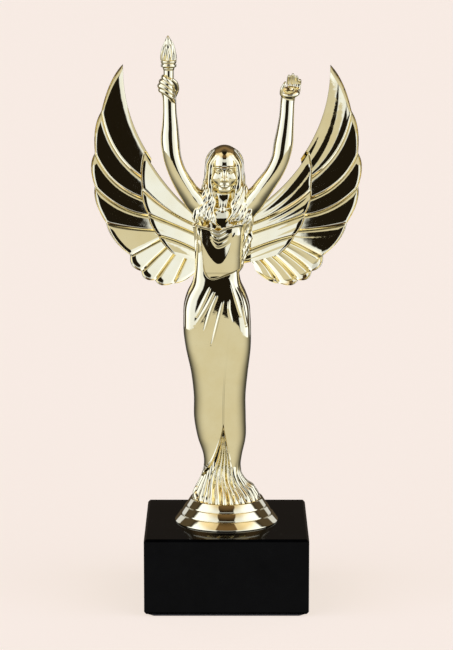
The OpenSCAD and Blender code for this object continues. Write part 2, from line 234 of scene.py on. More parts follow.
class Clay:
    FAR = 5.0

    def __init__(self, low, high, step):
        self.step = step
        # A layer of cells is centred on y = 0, so that the skin can be split there.
        low = np.array(low, float)
        low[1] = (math.floor(low[1] / step) - 0.5) * step
        self.low = low
        count = np.ceil((np.array(high) - low) / step).astype(int) + 1
        self.field = np.full(count, self.FAR, np.float32)
        self.scratch = self.field.copy()

    def window(self, points, reach):
        """The cells within reach of points, and those cells' places along x, y and z."""
        points = np.atleast_2d(points)
        a = np.floor((points.min(0) - reach - self.low) / self.step).astype(int)
        b = np.ceil((points.max(0) + reach - self.low) / self.step).astype(int) + 1
        a = np.clip(a, 0, self.field.shape)
        b = np.clip(b, 0, self.field.shape)
        cells = tuple(slice(i, j) for i, j in zip(a, b))
        x, y, z = [(self.low[k] + self.step * np.arange(a[k], b[k])).astype(np.float32) for k in range(3)]
        return cells, x[:, None, None], y[:, None], z

    def merge(self, cells, distance, blend, cut):
        """Adds a shape to the clay, or cuts it out, with the crease rounded off over blend."""
        old = self.field[cells]
        new = -distance if cut else distance
        round_off = np.maximum(blend - np.abs(old - new), 0) ** 2 / (4 * blend)
        if cut:
            self.field[cells] = np.maximum(old, new) + round_off
        else:
            self.field[cells] = np.minimum(old, new) - round_off

    def ball(self, centre, radii, blend, turn=(0, 0, 0), cut=False):
        """An ellipsoid, turned by angles in degrees about X, Y and Z."""
        radii = np.array(radii, np.float32)
        cells, x, y, z = self.window([centre], radii.max() + blend + 1)
        x, y, z = x - centre[0], y - centre[1], z - centre[2]
        m = np.array(Euler([math.radians(a) for a in turn]).to_matrix(), np.float32)
        p = [m[0, k] * x + m[1, k] * y + m[2, k] * z for k in range(3)]
        near = np.sqrt(sum((p[k] / radii[k]) ** 2 for k in range(3))) + 1e-6
        steep = np.sqrt(sum((p[k] / radii[k] ** 2) ** 2 for k in range(3))) + 1e-6
        self.merge(cells, near * (near - 1) / steep, blend, cut)

    def limb(self, path, blend, cut=False, samples=1):
        """A round limb along rows of x, y, z, radius."""
        path = through(path, samples) if samples > 1 else np.array(path, float)
        reach = path[:, 3].max() + blend + 1
        for a, b in zip(path[:-1], path[1:]):
            cells, x, y, z = self.window([a[:3], b[:3]], reach)
            run = b[:3] - a[:3]
            length = max(float(run @ run), 1e-9)
            px, py, pz = x - a[0], y - a[1], z - a[2]
            t = np.clip((px * run[0] + py * run[1] + pz * run[2]) / length, 0, 1)
            d = np.sqrt((px - t * run[0]) ** 2 + (py - t * run[1]) ** 2 + (pz - t * run[2]) ** 2)
            d -= a[3] + t * (b[3] - a[3])
            self.scratch[cells] = np.minimum(self.scratch[cells], d)
        cells = self.window(path[:, :3], reach)[0]
        self.merge(cells, self.scratch[cells], blend, cut)
        self.scratch[cells] = self.FAR

    def sample(self, field, p):
        """The field at points, between its grid values."""
        g = (p - self.low) / self.step
        i = np.clip(np.floor(g).astype(int), 0, np.array(field.shape) - 2)
        t = g - i
        total = np.zeros(len(p))
        for corner in np.ndindex(2, 2, 2):
            weight = np.prod(np.where(corner, t, 1 - t), axis=1)
            total += weight * field[tuple((i + corner).T)]
        return total

    def slope(self, field, p):
        """How steeply the field rises at points, along x, y and z."""
        out = np.zeros_like(p)
        for k in range(3):
            step = np.zeros(3)
            step[k] = self.step
            out[:, k] = self.sample(field, p + step) - self.sample(field, p - step)
        return out / (2 * self.step)

    def crossed_cells(self, f):
        """The cells that the surface crosses, each one's number, and a point of the surface in each."""
        shape = np.array(f.shape) - 1
        corners = list(np.ndindex(2, 2, 2))
        inside = [f[tuple(slice(i, i + n) for i, n in zip(c, shape))] < 0 for c in corners]
        count = sum(corner.astype(np.int8) for corner in inside)
        mixed = (count > 0) & (count < 8)
        cells = np.argwhere(mixed)
        number = np.full(shape, -1, np.int64)
        number[mixed] = np.arange(len(cells))
        value = {c: f[tuple((cells + c).T)] for c in corners}
        total, crossings = np.zeros((len(cells), 3)), np.zeros(len(cells))
        for a in corners:
            for k in range(3):
                if a[k]:
                    continue
                b = tuple(1 if n == k else a[n] for n in range(3))
                hit = (value[a] < 0) != (value[b] < 0)
                t = value[a][hit] / (value[a][hit] - value[b][hit])
                total[hit] += np.array(a) + t[:, None] * (np.array(b) - np.array(a))
                crossings[hit] += 1
        return cells, number, self.low + self.step * (cells + total / crossings[:, None])

    def skin(self):
        """The clay's surface: points, quads, normals, each quad's layers of cells along y, and the seam's."""
        f = blurred(blurred(self.field))
        cells, number, points = self.crossed_cells(f)
        quads = crossing_quads(f < 0, number)
        for _ in range(2):
            g = self.slope(f, points)
            move = (self.sample(f, points) / np.maximum((g**2).sum(1), 0.05))[:, None] * g
            points -= np.clip(move, -self.step / 2, self.step / 2)
        seam = round((0 - self.low[1]) / self.step - 0.5)
        points[cells[:, 1] == seam, 1] = 0
        g = self.slope(f, points)
        normals = g / np.maximum(np.linalg.norm(g, axis=1), 1e-9)[:, None]
        return points, quads, normals, cells[:, 1][quads], seam

    def shell(self):
        points, quads, normals, _, _ = self.skin()
        return Shell(points, [quads], normals)

    def half_shells(self):
        points, quads, normals, layers, seam = self.skin()
        side = np.where(layers.min(1) < seam, FRONT, np.where(layers.max(1) > seam, BACK, FRONT))
        return halves(points, [quads], normals, [side])


# ---- Materials ----


def add_node(tree, kind, inputs, **settings):
    """A new node's first output. inputs are plain values or other nodes' outputs, by name or in order."""
    node = tree.nodes.new(kind)
    for name, value in settings.items():
        setattr(node, name, value)
    set_inputs(tree, node, inputs)
    return node.outputs[0]


def set_inputs(tree, node, inputs):
    """Gives a node's inputs plain values, or links them to other nodes' outputs."""
    for key, value in inputs.items() if isinstance(inputs, dict) else enumerate(inputs):
        if hasattr(value, "is_output"):
            tree.links.new(value, node.inputs[key])
        else:
            node.inputs[key].default_value = value


def noise(tree, scale, detail=4, rough=0.6):
    where = tree.nodes.new("ShaderNodeTexCoord").outputs["Object"]
    inputs = {"Vector": where, "Scale": scale, "Detail": detail, "Roughness": rough}
    return add_node(tree, "ShaderNodeTexNoise", inputs)


def ramp(tree, value, stops):
    """A colour from a value: each stop is a place from 0 to 1 and the colour there."""
    node = tree.nodes.new("ShaderNodeValToRGB")
    points = node.color_ramp.elements
    points[0].position, points[1].position = stops[0][0], stops[-1][0]
    for place, _ in stops[1:-1]:
        points.new(place)
    for point, (_, colour) in zip(points, stops):
        point.color = (*colour, 1)
    tree.links.new(value, node.inputs["Fac"])
    return node.outputs["Color"]


def spread(tree, value, low, high):
    """The middle range of a noise, spread from low to high."""
    return add_node(tree, "ShaderNodeMapRange", [value, 0.3, 0.7, low, high])


def bump(tree, height, strength, distance):
    inputs = {"Height": height, "Strength": strength, "Distance": distance}
    return add_node(tree, "ShaderNodeBump", inputs)


def new_material(name, inputs):
    """A material whose shader has the inputs that a function of its node tree gives."""
    m = bpy.data.materials.new(name)
    m.use_nodes = True
    set_inputs(m.node_tree, m.node_tree.nodes["Principled BSDF"], inputs(m.node_tree))
    return m


def mirror_gold(tree):
    """Pale champagne mirror coat: a little waviness under it, and a faint haze in patches."""
    return {
        "Metallic": 1,
        "Base Color": ramp(tree, noise(tree, 90), [(0.3, (0.94, 0.80, 0.43)), (0.7, (0.98, 0.86, 0.50))]),
        "Roughness": spread(tree, noise(tree, 260, 3), 0.02, 0.07),
        "Normal": bump(tree, noise(tree, 350, 2, 0.4), 0.12, 0.0002),
    }


def black_stone(tree):
    """Black polished marble: cloudy grey mottling and a few fine pale grains under the polish."""
    greys = [(0.35, (0.0008,) * 3), (0.6, (0.002,) * 3), (0.85, (0.006, 0.006, 0.0055))]
    return {
        "Base Color": ramp(tree, noise(tree, 55, 8, 0.72), greys),
        "Roughness": spread(tree, noise(tree, 700), 0.03, 0.10),
        "Specular IOR Level": 0.07,
        "Normal": bump(tree, noise(tree, 900, 3), 0.05, 0.0001),
    }


def felt(tree):
    fibres = noise(tree, 2600, 8, 0.75)
    return {
        "Base Color": ramp(tree, fibres, [(0.3, (0.008, 0.008, 0.009)), (0.7, (0.035, 0.035, 0.038))]),
        "Roughness": 0.95,
        "Sheen Weight": 0.4,
        "Normal": bump(tree, fibres, 0.7, 0.0004),
    }


def zinc_steel(tree):
    return {
        "Metallic": 1,
        "Base Color": ramp(tree, noise(tree, 600, 5), [(0.3, (0.50, 0.51, 0.54)), (0.7, (0.70, 0.71, 0.72))]),
        "Roughness": spread(tree, noise(tree, 1500), 0.2, 0.4),
        "Normal": bump(tree, noise(tree, 3000, 3), 0.15, 0.0001),
    }


def glowing_floor(tree):
    return {
        "Base Color": (0.36, 0.32, 0.31, 1),
        "Roughness": 0.9,
        "Specular IOR Level": 0,
        "Emission Color": (0.98, 0.868, 0.752, 1),
        "Emission Strength": 0.78,
    }


GOLD = new_material("mirror_gold", mirror_gold)
STONE = new_material("black_stone", black_stone)
FELT = new_material("felt", felt)
ZINC = new_material("zinc_steel", zinc_steel)


# ---- Plinth ----


def finish_cad(name, material, bevel):
    """A CAD node that is shown as it is, with its edges rounded and its material."""
    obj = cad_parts[name]
    obj.data.materials.clear()
    obj.data.materials.append(material)
    edge = obj.modifiers.new("edge", "BEVEL")
    edge.width = bevel * MM
    edge.segments = 3
    edge.limit_method = "ANGLE"
    edge.angle_limit = math.radians(30)
    edge.harden_normals = True


def build_plinth():
    finish_cad("stone_block", STONE, 0.35)
    finish_cad("base_felt", FELT, 0.3)


# ---- Fasteners ----


def lathe(profile, sides):
    """The points and faces of a closed profile of (radius, height), turned about Z."""
    radius, height = np.array(profile, float).T[..., None]
    turn = np.arange(sides) * 2 * math.pi / sides
    rings = np.stack([radius * np.cos(turn), radius * np.sin(turn), height + 0 * turn], axis=-1)
    faces = grid_faces(len(rings) + 1, sides, closed=True) % (len(rings) * sides)
    return rings.reshape(-1, 3), faces


def build_fasteners():
    for name in ("flat_washer", "lock_washer"):
        finish_cad(name, ZINC, 0.15)
    for name in ("clamp_nut", "socket_nut"):
        finish_cad(name, ZINC, 0.3)
    build_rod()


def build_rod():
    """The threaded rod: a helical ridge of 1 mm pitch on its core, with both ends pointed."""
    low, high = node_box("threaded_rod")
    radius = (high[0] - low[0]) / 2
    pitch, depth, sides, levels = 1.0, 0.6, 48, 8
    point_in, point_h = 0.5, 0.8
    z = np.linspace(low[2], high[2], int((high[2] - low[2]) / pitch * levels))[:, None]
    turn = np.arange(sides) / sides
    wave = (z / pitch - turn) % 1
    from_end = np.minimum(z - low[2], high[2] - z)
    r = radius - depth * np.abs(2 * wave - 1) - point_in * np.clip(1 - from_end / point_h, 0, 1)
    angle = 2 * math.pi * turn
    points = np.stack([r * np.cos(angle), r * np.sin(angle), z + 0 * turn], -1).reshape(-1, 3)
    ring = np.arange(sides)[None]
    faces = [grid_faces(len(z), sides, closed=True), ring[:, ::-1], (len(z) - 1) * sides + ring]
    solid("rod", [Shell(points, faces)], ZINC, stands_for=["threaded_rod"], sharp=35)


# ---- Pedestal and torch ----


def rounded(profile, radius):
    """A profile with each corner rounded off."""
    profile = [np.array(p, float) for p in profile]
    out = []
    for i, p in enumerate(profile):
        before, after = profile[i - 1], profile[(i + 1) % len(profile)]
        reach = min(radius, 0.45 * np.linalg.norm(before - p), 0.45 * np.linalg.norm(after - p))
        if p[0] < 1e-6 or reach < 1e-3:
            out.append(p)
            continue
        a = p + (before - p) / np.linalg.norm(before - p) * reach
        b = p + (after - p) / np.linalg.norm(after - p) * reach
        for t in np.linspace(0, 1, 4):
            out.append(a * (1 - t) ** 2 + 2 * p * t * (1 - t) + b * t**2)
    return out


def build_turned(name, profile, corner_r, sides, middle, node):
    """A gold piece turned about an upright axis through middle, from a profile with rounded corners."""
    points, faces = lathe(rounded(profile, corner_r), sides)
    points[:, :2] += middle
    solid(name, [Shell(points, [faces])], GOLD, stands_for=[node], sharp=40)


def build_pedestal():
    """Three stepped tiers, open underneath round a boss for the rod."""
    low, high = node_box("pedestal")
    foot_r, top_r, tiers = (high[0] - low[0]) / 2, 17.8, 3
    groove, lip = 0.55, 0.55
    outline = []
    for i in range(tiers):
        r0, r1 = [foot_r + (top_r - foot_r) * k / tiers for k in (i, i + 1)]
        z0, z1 = [BLOCK_TOP + (HEM - BLOCK_TOP) * k / tiers for k in (i, i + 1)]
        step_r = r0 - (groove if i else 0)
        outline += [(step_r, z0), (step_r, z0 + lip), (r1, z1)]
    bore_r, boss_r, roof_r, skirt_r = 3.3, 6, 15, 23
    roof = HEM - 2.2
    inner = [
        (bore_r, HEM), (bore_r, BLOCK_TOP), (boss_r, BLOCK_TOP), (boss_r, roof), (roof_r, roof),
        (skirt_r, BLOCK_TOP),
    ]
    build_turned("pedestal_turned", outline + inner, 0.28, 256, (0, 0), "pedestal")


def build_torch():
    """A plain stem with a grooved collar at its top."""
    foot, top = TORCH_LOW[2], TORCH_HIGH[2]
    axis_r = 1e-7  # just off the axis, so that no face there has zero width
    stem_r = 2.5
    collar_r = (TORCH_HIGH[0] - TORCH_LOW[0]) / 2
    groove_r = collar_r - 0.35
    collar = top - 3.2
    profile = [
        (axis_r, foot), (stem_r, foot), (stem_r, collar - 2), (stem_r, collar - 1.4),
        (stem_r + 0.35, collar - 0.9), (stem_r + 0.3, collar - 0.3), (collar_r, collar + 0.2),
        (collar_r, collar + 1.1), (groove_r, collar + 1.5), (groove_r, collar + 1.9),
        (collar_r, collar + 2.2), (collar_r, top - 0.2), (collar_r - 0.4, top), (axis_r, top),
    ]
    build_turned("torch_turned", profile, 0.22, 96, (TORCH_X, TORCH_Y), "torch")


# The flame's core: shares of its height, and the radius there.
FLAME_CORE = [(0, 3), (0.25, 2.9), (0.5, 2.5), (0.74, 1.65), (0.88, 0.95), (0.98, 0.3)]


def build_flame():
    """A bud of flame: a pointed core, with tongues that climb and twist round it."""
    x, y = TORCH_X, TORCH_Y
    foot = TORCH_HIGH[2] - 0.4
    tall = FLAME_TOP - foot
    reach, tongues = 5, 7
    clay = Clay((x - reach, y - reach, foot - 1), (x + reach, y + reach, FLAME_TOP + 1), 0.14)

    def climb(start, top, lift, thick):
        """A path round the core, lift outside it, that fades out at the share top of its height."""
        share = np.array([0.02, 0.2, 0.5 * top, 0.8 * top, top])
        turn = start + 0.7 * share
        out = np.interp(share, *np.array(FLAME_CORE).T) + lift
        radius = thick * np.array([0.85, 1, 0.85, 0.5, 0.15])
        return np.column_stack([x + out * np.cos(turn), y + out * np.sin(turn), foot + share * tall, radius])

    clay.limb([(x + 0.3 * math.sin(5 * f), y, foot + f * tall, r) for f, r in FLAME_CORE], 0.3, samples=6)
    for k in range(tongues):
        start = 2 * math.pi * k / tongues - math.pi / 2
        top = 0.82 if k % 2 else 0.66
        clay.limb(climb(start, top, 0.15, 1), 0.2, samples=5)
        clay.limb(climb(start + math.pi / tongues, top, 0.75, 0.7), 0.2, cut=True, samples=5)
    # The bud is cut off level just above its foot.
    below = clay.field[:, :, : int(1.4 / clay.step)]
    below[:] = np.maximum(below, 1)
    solid("flame_bud", [clay.shell()], GOLD, stands_for=["torch_flame"])


# ---- Gown ----

CHEST_X = -4.4  # the chest's middle, as the waist sways to the figure's right

# Height, middle, half width, depth to the front, depth to the back.
GOWN = [
    (50, 0, 16.8, 16.6, 16.6), (54, -0.7, 14.4, 13.8, 13.8), (58, -1.8, 11.4, 10.8, 11),
    (61, -2.2, 9.8, 9.2, 9.6), (66, -2.1, 9, 8, 8.6), (71, -1.9, 9.4, 8, 9), (81, -2.4, 11.9, 8.8, 10.5),
    (90, -3.2, 12.7, 9.4, 10.8), (102, -3.35, 12.75, 10, 10.7), (113, -3.45, 13.85, 10.6, 11),
    (127, -4.1, 16, 11.3, 12.2), (134, -4.5, 16.5, 11.45, 12.7), (141, -4.7, 16.4, 11.35, 13),
    (147, -4.8, 16, 11.1, 12.8), (153, -4.9, 14.2, 10.75, 11.4), (158, -4.8, 11.9, 10.3, 9.8),
    (162, -4.7, 11, 9.75, 8.9), (168, -4.6, 10.8, 9.9, 8.4), (174, -4.6, 10.9, 10.1, 8.3),
    (179, -4.6, 11.1, 10.25, 8.5), (184, -4.7, 11.5, 10.2, 8.8), (190, -4.2, 12.4, 9.8, 9),
]
NECKLINE = [
    (-17, 185.6), (-15.4, 187.2), (-13.6, 187.9), (-9, 186.3), (-3.4, 184.8), (1.2, 187), (4.9, 188.3),
    (7.5, 186),
]

# Folds on the front: the line that each follows, its half width and its height.
FOLDS = [
    ([(-8.4, 184.8), (-3.9, 182.8), (0.6, 185)], 0.7, 0.5),
    ([(-8, 183), (-3.9, 180.6), (1.6, 183.6)], 0.75, 0.6),
    ([(-7, 181.4), (-5.6, 178.8), (-3.8, 177.5), (0, 179.3), (3.6, 183.2)], 0.8, 0.5),
    ([(-7.6, 157.4), (-11, 150.4), (-14.4, 143)], 0.55, 0.5),
    ([(-5.6, 155.4), (-9.6, 147.6), (-15, 138.6)], 0.55, 0.55),
    ([(-4.4, 153.6), (-8, 145), (-11, 134.5)], 0.5, 0.55),
    ([(-1.6, 150.6), (-4.4, 140), (-7.2, 128)], 0.5, 0.55),
    ([(1.2, 151), (1.2, 146), (2.8, 139.4)], 0.45, 0.4),
    ([(1.4, 161), (4, 152.5), (6.9, 143)], 0.5, 0.5),
    ([(4, 158), (7.4, 150), (9.6, 138)], 0.55, 0.5),
]
# The bodice's front panel leans back between these two lines.
PANEL_LOW = [
    (-14, 184), (-12.2, 180), (-8.8, 173.4), (-5.8, 169.6), (-3.8, 168.7), (-1.6, 169.8), (0.6, 174),
    (2.4, 179.4), (4, 184),
]
PANEL_HIGH = [(-14, 189), (-11, 187.4), (-8, 184.6), (-6.2, 180), (-3.8, 177.6), (0.4, 179.4), (4, 184)]
LONG_FOLD = [
    (3.1, 141), (1.4, 132.7), (0.3, 123.2), (-1, 111.3), (-1.5, 99.3), (-1.6, 88), (-1.8, 74), (-2, 60),
]

# The slit's two edges: rows of height and x.
SLIT_TOP = 88.7
SLIT_LEFT = [(50, -15), (56.4, -14.2), (63.9, -10.6), (69.8, -7), (77.3, -4.1), (84, -2.4), (SLIT_TOP, -1.5)]
SLIT_RIGHT = [(50, 4.2), (61.4, 2.4), (66.8, 1.7), (78.3, 0.2), (84, -0.8), (SLIT_TOP, -1.5)]
# The bodice's edge: down the figure's right side and round the waist.
BODICE_EDGE = [
    (-17, 190), (-13, 186), (-12.2, 180), (-11.6, 172), (-10.6, 165), (-8.8, 161.8), (-6, 161),
    (-1, 162.6), (4.5, 165), (9, 168),
]

# On the back: the pull of the cloth away from the waist, and down from the seat.
BACK_FOLDS = [
    ([(-3.4, 160), (-8, 152), (-13.6, 147)], 0.9, 0.6),
    ([(-5.8, 160), (-0.6, 151.4), (5.6, 146)], 0.9, 0.6),
    ([(-9.6, 132), (-8, 112), (-6.6, 92), (-8.4, 70)], 1.3, 0.7),
    ([(-4.6, 136), (-4, 114), (-3.2, 92), (-2.4, 70)], 1.2, 0.8),
    ([(0.6, 132), (-0.4, 112), (0, 92), (2.4, 70)], 1.3, 0.7),
]


def along(path, x, z):
    """Distance from points to a smooth line in the X-Z plane, and how far along it they are, from 0 to 1."""
    line = through(path, 10)
    near = np.full(x.shape, 1e9)
    where = np.zeros(x.shape)
    for i, (a, b) in enumerate(zip(line[:-1], line[1:])):
        span = b - a
        t = np.clip(((x - a[0]) * span[0] + (z - a[1]) * span[1]) / (span @ span), 0, 1)
        d = np.hypot(x - a[0] - t * span[0], z - a[1] - t * span[1])
        closer = d < near
        near = np.where(closer, d, near)
        where = np.where(closer, (i + t) / (len(line) - 1), where)
    return near, where


def on_line(path, at):
    """The second number of a smooth line where its first number, which grows all along it, is at."""
    return np.interp(at, *through(path, 8).T)


def fold_relief(folds, x, z):
    """Soft folds, each of which swells from nothing at both ends."""
    out = 0
    for path, width, height in folds:
        d, t = along(path, x, z)
        out += height * np.exp(-((d / width) ** 2)) * np.sin(math.pi * np.clip(t, 0.02, 0.98)) ** 0.6
    return out


def mound(x, z, centre, reach, height):
    return height * np.exp(-(((x - centre[0]) / reach[0]) ** 2) - ((z - centre[1]) / reach[1]) ** 2)


def edge_bead(below_edge):
    """The rolled edge at the top of the gown."""
    return np.exp(-(((below_edge - 0.5) / 0.55) ** 2))


def bust_relief(x, z):
    """The bust, and the panel under it that leans back between its two lines."""
    out = mound(x, z, (-9.2, 182.6), (4.8, 3), 0.35) + mound(x, z, (1.4, 182.6), (4.6, 3), 0.35)
    low, high = on_line(PANEL_LOW, x), on_line(PANEL_HIGH, x)
    tall = np.maximum(high - low, 0)
    out -= 0.11 * np.clip(z - low, 0, tall)
    return out + 0.16 * np.clip(z - high, 0, 3.5) * np.clip(tall / 2, 0, 1)


def bodice_relief(x, z):
    """The bodice stands proud along its edge and leans out above the waist; the cloth beside it leans in."""
    d, _ = along(BODICE_EDGE, x, z)
    bodice = smoothstep(-0.4, 0.4, np.where(z > on_line(BODICE_EDGE, x), d, -d))
    proud = 0.3 + 0.22 * np.clip(z - 160.5, 0, 4)
    return bodice * proud - (1 - bodice) * 0.08 * np.clip(z - 163, 0, 17)


def long_fold_relief(x, z):
    """A broad hollow from the hip down to the slit, with a fine crest along it."""
    d, t = along(LONG_FOLD, x, z)
    hollow = 0.8 * np.exp(-((d / 3.4) ** 2)) * smoothstep(0, 0.3, t) * smoothstep(62, 80, z)
    crest = (0.42 - 0.2 * smoothstep(100, 120, z)) * np.exp(-((d / 0.4) ** 2))
    return crest * smoothstep(0, 0.15, t) * smoothstep(85, 89, z) - hollow


def slit_relief(x, z):
    """The slit between its raised edges, and the pleats that fan out inside it beside a plain strip."""
    left, right = on_line(SLIT_LEFT, z), on_line(SLIT_RIGHT, z)
    inside = smoothstep(0, 0.3, np.minimum(x - left, right - x)) * smoothstep(SLIT_TOP, SLIT_TOP - 1, z)
    edge = np.minimum(np.abs(x - left), np.abs(x - right))
    share = np.clip((x - left) / np.maximum(right - left, 0.1), 0, 1)
    pleat = np.abs(np.sin(math.pi * 5 * share**1.15)) ** 0.8
    out = 1.3 * pleat * smoothstep(0.24, 0.36, share) * smoothstep(84, 68, z)
    out = inside * (out - 0.6 - 0.11 * np.clip(z - 58, 0, 30))
    return out + 0.35 * np.exp(-(((edge - 0.3) / 0.45) ** 2)) * (1 - inside) * smoothstep(88, 76, z)


def front_relief(x, z, below_edge):
    """The bust, the bodice, the long fold, the slit and the small folds at the neck and hips."""
    out = bust_relief(x, z) + bodice_relief(x, z) + long_fold_relief(x, z) + slit_relief(x, z)
    return out + fold_relief(FOLDS, x, z) + 0.55 * edge_bead(below_edge)


def back_relief(x, z, below_edge):
    """The seat, the hollow of the back between the shoulder blades, and the folds."""
    out = mound(x, z, (-10.8, 140), (6, 8), 1.3) + mound(x, z, (1.2, 140), (6, 8), 1.3)
    out -= mound(x, z, (-4.8, 141), (1.8, 11), 1.2)
    out -= mound(x, z, (-4.8, 174), (1.6, 12), 1)
    out += mound(x, z, (-9.4, 177), (3.4, 6), 0.7) + mound(x, z, (-0.2, 177), (3.4, 6), 0.7)
    return out + fold_relief(BACK_FOLDS, x, z) + 0.5 * edge_bead(below_edge)


def gown_top(across, front):
    """The height of the gown's top edge all round: the neckline in front, and nearly level behind."""
    edge_x = CHEST_X - 12.4 * across
    top = np.where(front, np.interp(edge_x, *np.array(NECKLINE).T), 185.8 + 0.2 * across)
    return sum(np.roll(top, k) for k in (2, 1, 0, -1, -2)) / 5


def gown_body(across, forward, front, z):
    """The plain body at heights z: points, and the directions out of it."""
    middle, half, behind = [column(GOWN, z, k) for k in (1, 2, 4)]
    # The belly is fullest a little higher than the hips.
    rise = 9 * (1 - 2 * across**2) * smoothstep(122, 134, z) * smoothstep(166, 152, z)
    depth = np.where(front, column(GOWN, z - rise, 3), behind)
    # The hem is round, and the body above it has fuller corners than an ellipse.
    power = 2 + smoothstep(54, 72, z) + 1.8 * smoothstep(106, 134, z) - 0.8 * smoothstep(150, 158, z)
    power += 0.8 * smoothstep(158, 170, z) + 1.4 * smoothstep(172, 180, z)
    size = ((np.abs(across) / half) ** power + (np.abs(forward) / depth) ** power) ** (-1 / power)
    x, y = -size * across, -size * forward
    out_x = np.sign(x) * np.abs(x / half) ** (power - 1) / half
    out_y = np.sign(y) * np.abs(y / depth) ** (power - 1) / depth
    reach = np.hypot(out_x, out_y)
    return x + middle, y, out_x / reach, out_y / reach


def gown_relief(x, z, turn, front, below_edge):
    """All that is raised on the gown. The front's and the back's reliefs meet smoothly at the seam."""
    from_seam = np.abs(np.sin(turn))
    relief = np.where(front, front_relief(x, z, below_edge), back_relief(x, z, below_edge))
    relief *= smoothstep(0, 0.12, from_seam)
    relief += 0.5 * edge_bead(below_edge) * smoothstep(0.12, 0, from_seam)
    wander = turn + 0.05 * np.sin(3 * turn + 1) + 0.03 * np.sin(7 * turn)
    pleats = np.abs(np.sin(14 * wander + 0.5 * np.sin(z / 5))) ** 0.65 - 0.5
    relief += 2 * pleats * smoothstep(70, 53, z) * (0.35 + 0.65 * smoothstep(50, 53, z))
    return relief + mound(x, z, (12.5, 56.6), (2.2, 1.6), 1.5)


def gown_halves():
    sides, levels = 460, 560
    seams = [0, sides // 2]
    turn = np.arange(sides) * 2 * math.pi / sides
    across, forward = np.cos(turn), np.sin(turn)
    front = forward > 1e-9
    top = gown_top(across, front)
    z = HEM + np.linspace(0, 1, levels)[:, None] * (top - HEM)
    x, y, out_x, out_y = gown_body(across, forward, front, z)
    relief = gown_relief(x, z, turn, front, top - z)
    x, y = x + relief * out_x, y + relief * out_y
    rings = np.stack([x, y, z], -1)
    # The top edge rolls over and goes down inside the chest.
    outward = np.stack([out_x[-1], out_y[-1], np.zeros(sides)], -1)
    roll = [(0.35, 0.12), (0.7, 0.4), (0.9, 1.2), (1, 3)]
    lip = [rings[-1] - inward * outward - [0, 0, down] for inward, down in roll]
    rings = np.concatenate([rings, lip])
    rings[:, seams, 1] = 0
    count = len(rings)
    points = np.vstack([rings.reshape(-1, 3), [[0, 0, HEM], [CHEST_X, 0, 182]]])
    low, high = [np.full(sides, len(points) - k) for k in (2, 1)]
    here = np.arange(sides)
    after = np.roll(here, -1)
    last = (count - 1) * sides
    ends = np.vstack([np.stack([here, low, after], 1), np.stack([here + last, after + last, high], 1)])
    faces = [grid_faces(count, sides, closed=True), ends]
    half = np.where(here < sides // 2, FRONT, BACK)
    return halves(points, faces, corner_normals(points, faces), [np.tile(half, count - 1), np.tile(half, 2)])


# ---- Head, hair and chest ----

HEAD_X = -1


def mirrored(rows):
    """Rows of offsets from the middle of the head, on each side of it in turn."""
    return [[(HEAD_X + side * row[0], *row[1:]) for row in rows] for side in (-1, 1)]


def model_body(clay):
    clay.limb([(-1, 1.2, 208, 4.8), (-1.2, 0.9, 201, 4.8), (-1.8, 0.6, 194, 5.4)], 2, samples=4)
    clay.ball((-2.6, -0.2, 187), (11.2, 7.8, 10), 3)
    clay.ball((-9, -3.4, 183.4), (4.4, 5.6, 5), 2)
    clay.ball((1.2, -3.4, 183.6), (4.4, 5.6, 5), 2)
    clay.limb([(-3, 1.4, 199, 2.6), (-7, 1.1, 196.6, 3.2), (-11.4, 0.7, 194, 4.6)], 2.5, samples=4)
    clay.limb([(0.6, 1.4, 199, 2.6), (4.6, 1.1, 196.6, 3.2), (9.2, 0.7, 194, 4.6)], 2.5, samples=4)
    for side in (-1, 1):
        collarbone = [(-1.9 + side * 1.2, -5.5, 194.4, 0.6), (-1.9 + side * 4, -6, 195.2, 0.6)]
        clay.limb([*collarbone, (-1.9 + side * 8, -3.4, 196.4, 0.8)], 0.9, samples=4)
        clay.limb([(-1 + side * 3.6, -0.4, 206, 0.9), (-1.8 + side * 1.1, -5, 194.8, 0.6)], 1.2)
    clay.ball((-1.9, -6.6, 194.6), (0.9, 0.8, 0.9), 0.8, cut=True)


def model_head(clay):
    clay.ball((HEAD_X, 0.8, 215.6), (7.2, 8.9, 8.8), 2)
    clay.ball((HEAD_X, -2.2, 210.6), (6.2, 6.5, 7.8), 2)
    clay.ball((HEAD_X, -6, 206.9), (2.9, 2.7, 2.6), 1.6)
    clay.ball((HEAD_X, -7, 204.1), (1.9, 1.5, 1.5), 1.6)
    for jaw in mirrored([(5, 0, 209, 1.6), (4.1, -3.2, 205.6, 1.5), (1.6, -6.3, 204, 1.4)]):
        clay.limb(jaw, 2, samples=4)
    for side in (-1, 1):
        clay.ball((HEAD_X + side * 3.8, -5.9, 209.7), (2.2, 1.9, 2.3), 1.6)
        clay.ball((HEAD_X + side * 2.9, -9.7, 213.1), (1.9, 2, 1.35), 1.1, cut=True)
    model_eyes(clay)
    model_nose(clay)
    model_mouth(clay)


def model_eyes(clay):
    for side in (-1, 1):
        clay.ball((HEAD_X + side * 2.85, -6.75, 213), (1.45, 1.4, 1.35), 0.2)
    for brow in mirrored([(0.9, -8.5, 214.3, 0.5), (2.8, -8.35, 215.3, 0.55), (4.9, -6.8, 214.7, 0.4)]):
        clay.limb(brow, 0.8, samples=5)
    upper = [(1.45, -7.6, 212.8, 0.2), (2.1, -8.15, 213.6, 0.3), (3, -8.25, 213.95, 0.32)]
    lower = [(1.45, -7.6, 212.8, 0.15), (2.6, -8.05, 212.2, 0.2), (3.5, -7.75, 212.3, 0.2)]
    for rows, corner_r in ((upper, 0.2), (lower, 0.15)):
        for lid in mirrored([*rows, (4.3, -7.2, 213, corner_r)]):
            clay.limb(lid, 0.2, samples=5)


